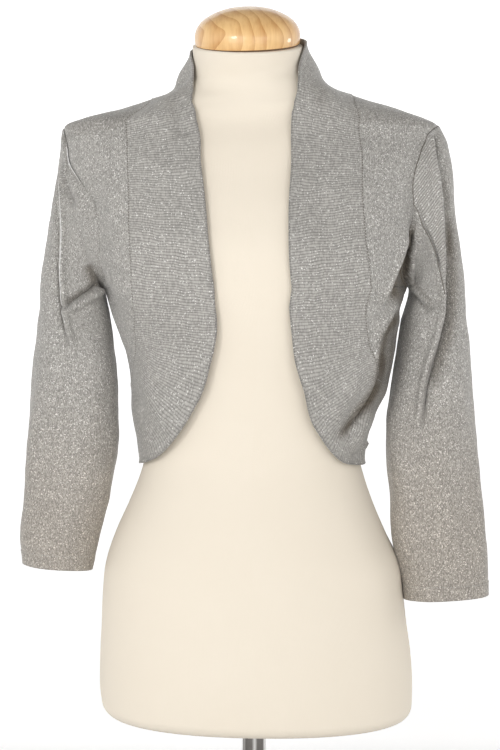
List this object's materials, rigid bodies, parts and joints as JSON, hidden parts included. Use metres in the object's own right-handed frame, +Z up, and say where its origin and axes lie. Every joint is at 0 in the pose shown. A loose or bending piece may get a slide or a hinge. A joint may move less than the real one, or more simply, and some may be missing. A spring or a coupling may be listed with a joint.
{
  "type": "bolero cardigan on a dress form",
  "caption": "Cropped open-front knit bolero with a wide shawl band and three-quarter sleeves, worn by a limbless dress form with a wooden neck cap on a round steel stand.",
  "frame": {"origin": "centre of the round base's underside, under the pole", "axes": "+Z up, -Y out of the garment's open front, +X to the right of a front view, which is the wearer's left"},
  "size_m": [0.503, 0.28, 0.9701],
  "materials": {
    "knit": "fine silver-grey jersey knit with a metallic glitter yarn",
    "band": "double silver-grey knit with courses across it",
    "jersey": "smooth cream cotton jersey, drawn tight",
    "wood": "clear gloss varnish on pale pine",
    "steel": "polished steel"
  },
  "bodies": {
    "root": {"back": "knit", "front_right": "knit", "front_left": "knit", "sleeve_right": "knit", "sleeve_left": "knit", "band_right": "band", "band_left": "band", "dress_form": "jersey", "neck_cap": "wood", "pole": "steel", "base": "steel"}
  },
  "joints": []
}
